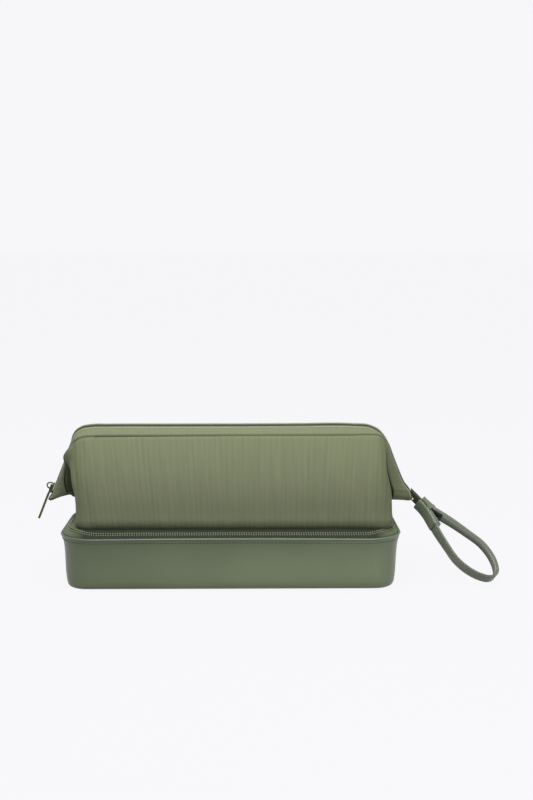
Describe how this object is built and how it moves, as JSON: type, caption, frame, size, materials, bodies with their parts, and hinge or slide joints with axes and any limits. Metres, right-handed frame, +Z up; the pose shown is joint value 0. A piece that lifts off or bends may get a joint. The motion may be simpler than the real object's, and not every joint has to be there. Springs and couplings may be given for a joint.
{
  "type": "toiletry bag",
  "caption": "Framed toiletry bag with a moulded zip-off lower compartment, a hooped zipped mouth, end wings and a leather wrist loop.",
  "frame": {"origin": "centre of the flat underside the bag stands on", "axes": "+X along the bag towards the wrist loop, -Y the front, +Z up"},
  "size_m": [0.4015, 0.1308, 0.1313],
  "materials": {
    "olive_leather": "soft sheen",
    "leather_edge": "soft sheen",
    "lining": "plain weave",
    "stiffener": "matte",
    "zip_teeth": "satin",
    "zip_tape": "woven",
    "hoop_steel": "drawn",
    "slider_metal": "satin",
    "black_metal": "satin",
    "webbing": "woven",
    "olive_fabric": "fine twill"
  },
  "bodies": {
    "base": {"base_shell": "olive_leather", "rim_binding": "leather_edge", "base_board": "stiffener", "base_lining_floor": "lining", "base_lining_wall": "lining", "base_zip_tape_lower": "zip_tape", "base_zip_teeth_lower": "zip_teeth"},
    "front_hoop": {"front_hoop_band": "olive_fabric", "front_hoop_wire": "hoop_steel", "front_hoop_wire_sleeve": "olive_fabric", "front_hoop_zip_tape": "zip_tape", "front_hoop_zip_teeth": "zip_teeth"},
    "rear_hoop": {"rear_hoop_band": "olive_fabric", "rear_hoop_wire": "hoop_steel", "rear_hoop_wire_sleeve": "olive_fabric", "rear_hoop_zip_tape": "zip_tape", "rear_hoop_zip_teeth": "zip_teeth"},
    "top_slider": {"top_slider": "slider_metal"},
    "top_puller": {"top_puller": "slider_metal"},
    "base_slider": {"base_slider": "slider_metal"},
    "base_puller": {"base_puller": "slider_metal"},
    "wrist_loop": {"strap_rivet": "black_metal", "wrist_loop": "olive_leather", "loop_tongue": "olive_leather", "loop_snap": "black_metal"},
    "upper": {"base_zip_tape_upper": "zip_tape", "base_zip_teeth_upper": "zip_teeth", "divider_board": "stiffener", "divider_lining": "lining", "front_panel": "olive_fabric", "left_gusset": "olive_fabric", "left_hoop_rivet": "hoop_steel", "left_wing_web": "olive_fabric", "left_zip_end": "zip_tape", "rear_panel": "olive_fabric", "right_gusset": "olive_fabric", "right_hoop_rivet": "hoop_steel", "right_wing_web": "olive_fabric", "right_zip_end": "zip_tape", "strap_tab": "webbing", "upper_lining_floor": "lining", "upper_lining_wall": "lining"}
  },
  "joints": [
    {"name": "lower_compartment_hinge", "type": "hinge", "parent": "base", "child": "upper", "pos_m": [0, 0.0595, 0.0465], "axis": [-1, 0, 0], "range_deg": [0, 95]},
    {"name": "front_hoop_hinge", "type": "hinge", "parent": "upper", "child": "front_hoop", "pos_m": [0, 0, 0.084], "axis": [1, 0, 0], "range_deg": [0, 45]},
    {"name": "rear_hoop_hinge", "type": "hinge", "parent": "upper", "child": "rear_hoop", "pos_m": [0, 0, 0.084], "axis": [-1, 0, 0], "range_deg": [0, 45]},
    {"name": "top_slider_run", "type": "slide", "parent": "upper", "child": "top_slider", "axis": [0.3714, 0, 0.9285], "range_m": [0, 0.034]},
    {"name": "top_puller_swing", "type": "hinge", "parent": "top_slider", "child": "top_puller", "pos_m": [-0.15913, 0, 0.07585], "axis": [0, 1, 0], "range_deg": [0, 160]},
    {"name": "base_slider_run", "type": "slide", "parent": "base", "child": "base_slider", "axis": [0, -1, 0], "range_m": [0, 0.054]},
    {"name": "base_puller_swing", "type": "hinge", "parent": "base_slider", "child": "base_puller", "pos_m": [0.14111, 0.027, 0.04903], "axis": [-0.8437, 0, 0.5369], "range_deg": [0, 170]},
    {"name": "wrist_loop_swing", "type": "hinge", "parent": "upper", "child": "wrist_loop", "pos_m": [0.16885, -0.00583, 0.05941], "axis": [-0.6905, -0.6905, -0.2153], "range_deg": [-30, 95]}
  ]
}
